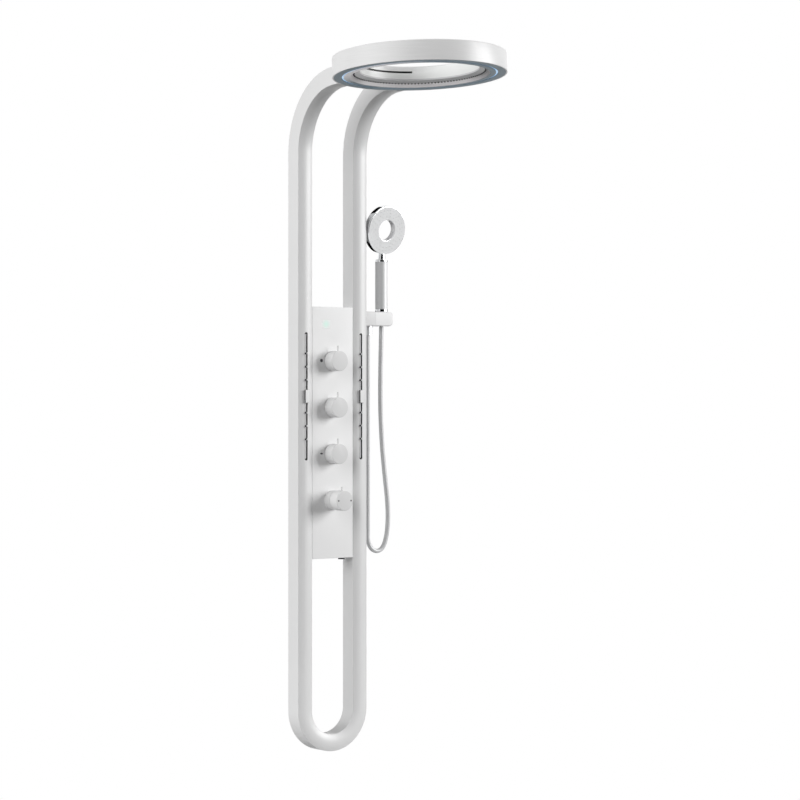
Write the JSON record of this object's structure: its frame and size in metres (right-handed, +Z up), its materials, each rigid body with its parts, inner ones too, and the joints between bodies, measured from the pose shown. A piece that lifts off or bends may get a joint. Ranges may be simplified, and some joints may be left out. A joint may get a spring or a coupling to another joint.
{
  "type": "shower column",
  "caption": "Wall-mounted shower column with looped rails, overhead ring shower, body jets, control panel with turning knobs and a hand shower on a hose.",
  "frame": {"origin": "centre of the wall fixing holes, on the wall face", "axes": "+X to the right seen from the room, +Y into the wall, +Z up"},
  "size_m": [0.4204, 0.5877, 1.6401],
  "materials": {
    "white_coating": "white satin coating",
    "white_plastic": "white satin",
    "inner_plastic": "moulded",
    "slate_plastic": "satin slate grey",
    "light_guide": "milky blue light guide",
    "circuit_board": "lacquered",
    "silver_plastic": "silver grey",
    "dark_rubber": "soft",
    "black_plastic": "moulded",
    "steel": "plain",
    "display_glass": "pale mint window",
    "brass": "machined",
    "chrome": "polished",
    "hose_silver": "smooth silver grey",
    "grip_satin": "satin",
    "face_grey": "light grey"
  },
  "bodies": {
    "column": {"arm_spigots": "brass", "bottom_bend": "white_coating", "cartridge_nuts": "brass", "cradle": "white_plastic", "display_board": "circuit_board", "display_window": "display_glass", "flow_generator": "black_plastic", "frame_bolts": "steel", "hand_feed_pipe": "inner_plastic", "holder_screws": "steel", "hose": "hose_silver", "hose_outlet_nut": "chrome", "inlet_nipples": "brass", "jet_feed_pipes": "inner_plastic", "left_jet_trough": "black_plastic", "left_rail": "white_coating", "light_board": "circuit_board", "light_diffuser": "light_guide", "locking_plug": "black_plastic", "manifold": "brass", "nozzle_ring": "silver_plastic", "outlet_block": "white_plastic", "overhead_feed_pipes": "inner_plastic", "panel_back": "steel", "panel_cover": "white_coating", "panel_screws": "steel", "rail_sleeves": "inner_plastic", "right_jet_trough": "black_plastic", "right_rail": "white_coating", "ring_base": "slate_plastic", "ring_screws": "steel", "ring_shell": "white_coating", "spray_nozzles": "dark_rubber", "stop_cartridges": "brass", "thermostat_cartridge": "brass", "thermostat_sleeve": "white_coating", "wall_brackets": "steel", "water_channel": "inner_plastic", "waterfall_lip": "black_plastic"},
    "overhead_knob": {"overhead_knob": "white_coating", "overhead_lever": "chrome", "overhead_spindle": "brass"},
    "jet_knob": {"jet_knob": "white_coating", "jet_lever": "chrome", "jet_spindle": "brass"},
    "hand_knob": {"hand_knob": "white_coating", "hand_lever": "chrome", "hand_spindle": "brass"},
    "temperature_knob": {"temperature_knob": "white_coating", "temperature_spindle": "brass"},
    "safety_button": {"safety_button": "chrome"},
    "left_jet_bar": {"left_jet_bar": "white_plastic", "left_jet_nozzles": "dark_rubber"},
    "right_jet_bar": {"right_jet_bar": "white_plastic", "right_jet_nozzles": "dark_rubber"},
    "hose_end": {"hose_cone_nut": "chrome"},
    "handset": {"handset_head": "chrome", "handset_face": "face_grey", "handset_grip": "grip_satin", "handset_collars": "chrome"}
  },
  "joints": [
    {"name": "overhead_knob_turn", "type": "hinge", "parent": "column", "child": "overhead_knob", "pos_m": [0, -0.0572, 0.1715], "axis": [0, -1, 0], "range_deg": [0, 90]},
    {"name": "jet_knob_turn", "type": "hinge", "parent": "column", "child": "jet_knob", "pos_m": [0, -0.0572, 0.0605], "axis": [0, -1, 0], "range_deg": [0, 90]},
    {"name": "hand_knob_turn", "type": "hinge", "parent": "column", "child": "hand_knob", "pos_m": [0, -0.0572, -0.0505], "axis": [0, -1, 0], "range_deg": [0, 90]},
    {"name": "temperature_knob_turn", "type": "hinge", "parent": "column", "child": "temperature_knob", "pos_m": [0, -0.0777, -0.1615], "axis": [0, -1, 0], "range_deg": [-120, 75]},
    {"name": "safety_button_press", "type": "slide", "parent": "temperature_knob", "child": "safety_button", "axis": [0, 0, -1], "range_m": [0, 0.003], "stiffness_N_per_m": 300},
    {"name": "left_jet_swing", "type": "hinge", "parent": "column", "child": "left_jet_bar", "pos_m": [-0.08, -0.04, 0.087], "axis": [0, 0, 1], "range_deg": [-15, 15]},
    {"name": "right_jet_swing", "type": "hinge", "parent": "column", "child": "right_jet_bar", "pos_m": [0.08, -0.04, 0.087], "axis": [0, 0, 1], "range_deg": [-15, 15]},
    {"name": "handset_lift", "type": "slide", "parent": "column", "child": "hose_end", "axis": [0, 0, 1], "range_m": [0, 0.06]},
    {"name": "handset_swivel", "type": "hinge", "parent": "hose_end", "child": "handset", "pos_m": [0.16, -0.021, 0.3], "axis": [0, 0, 1], "range_deg": [-3, 20]}
  ]
}
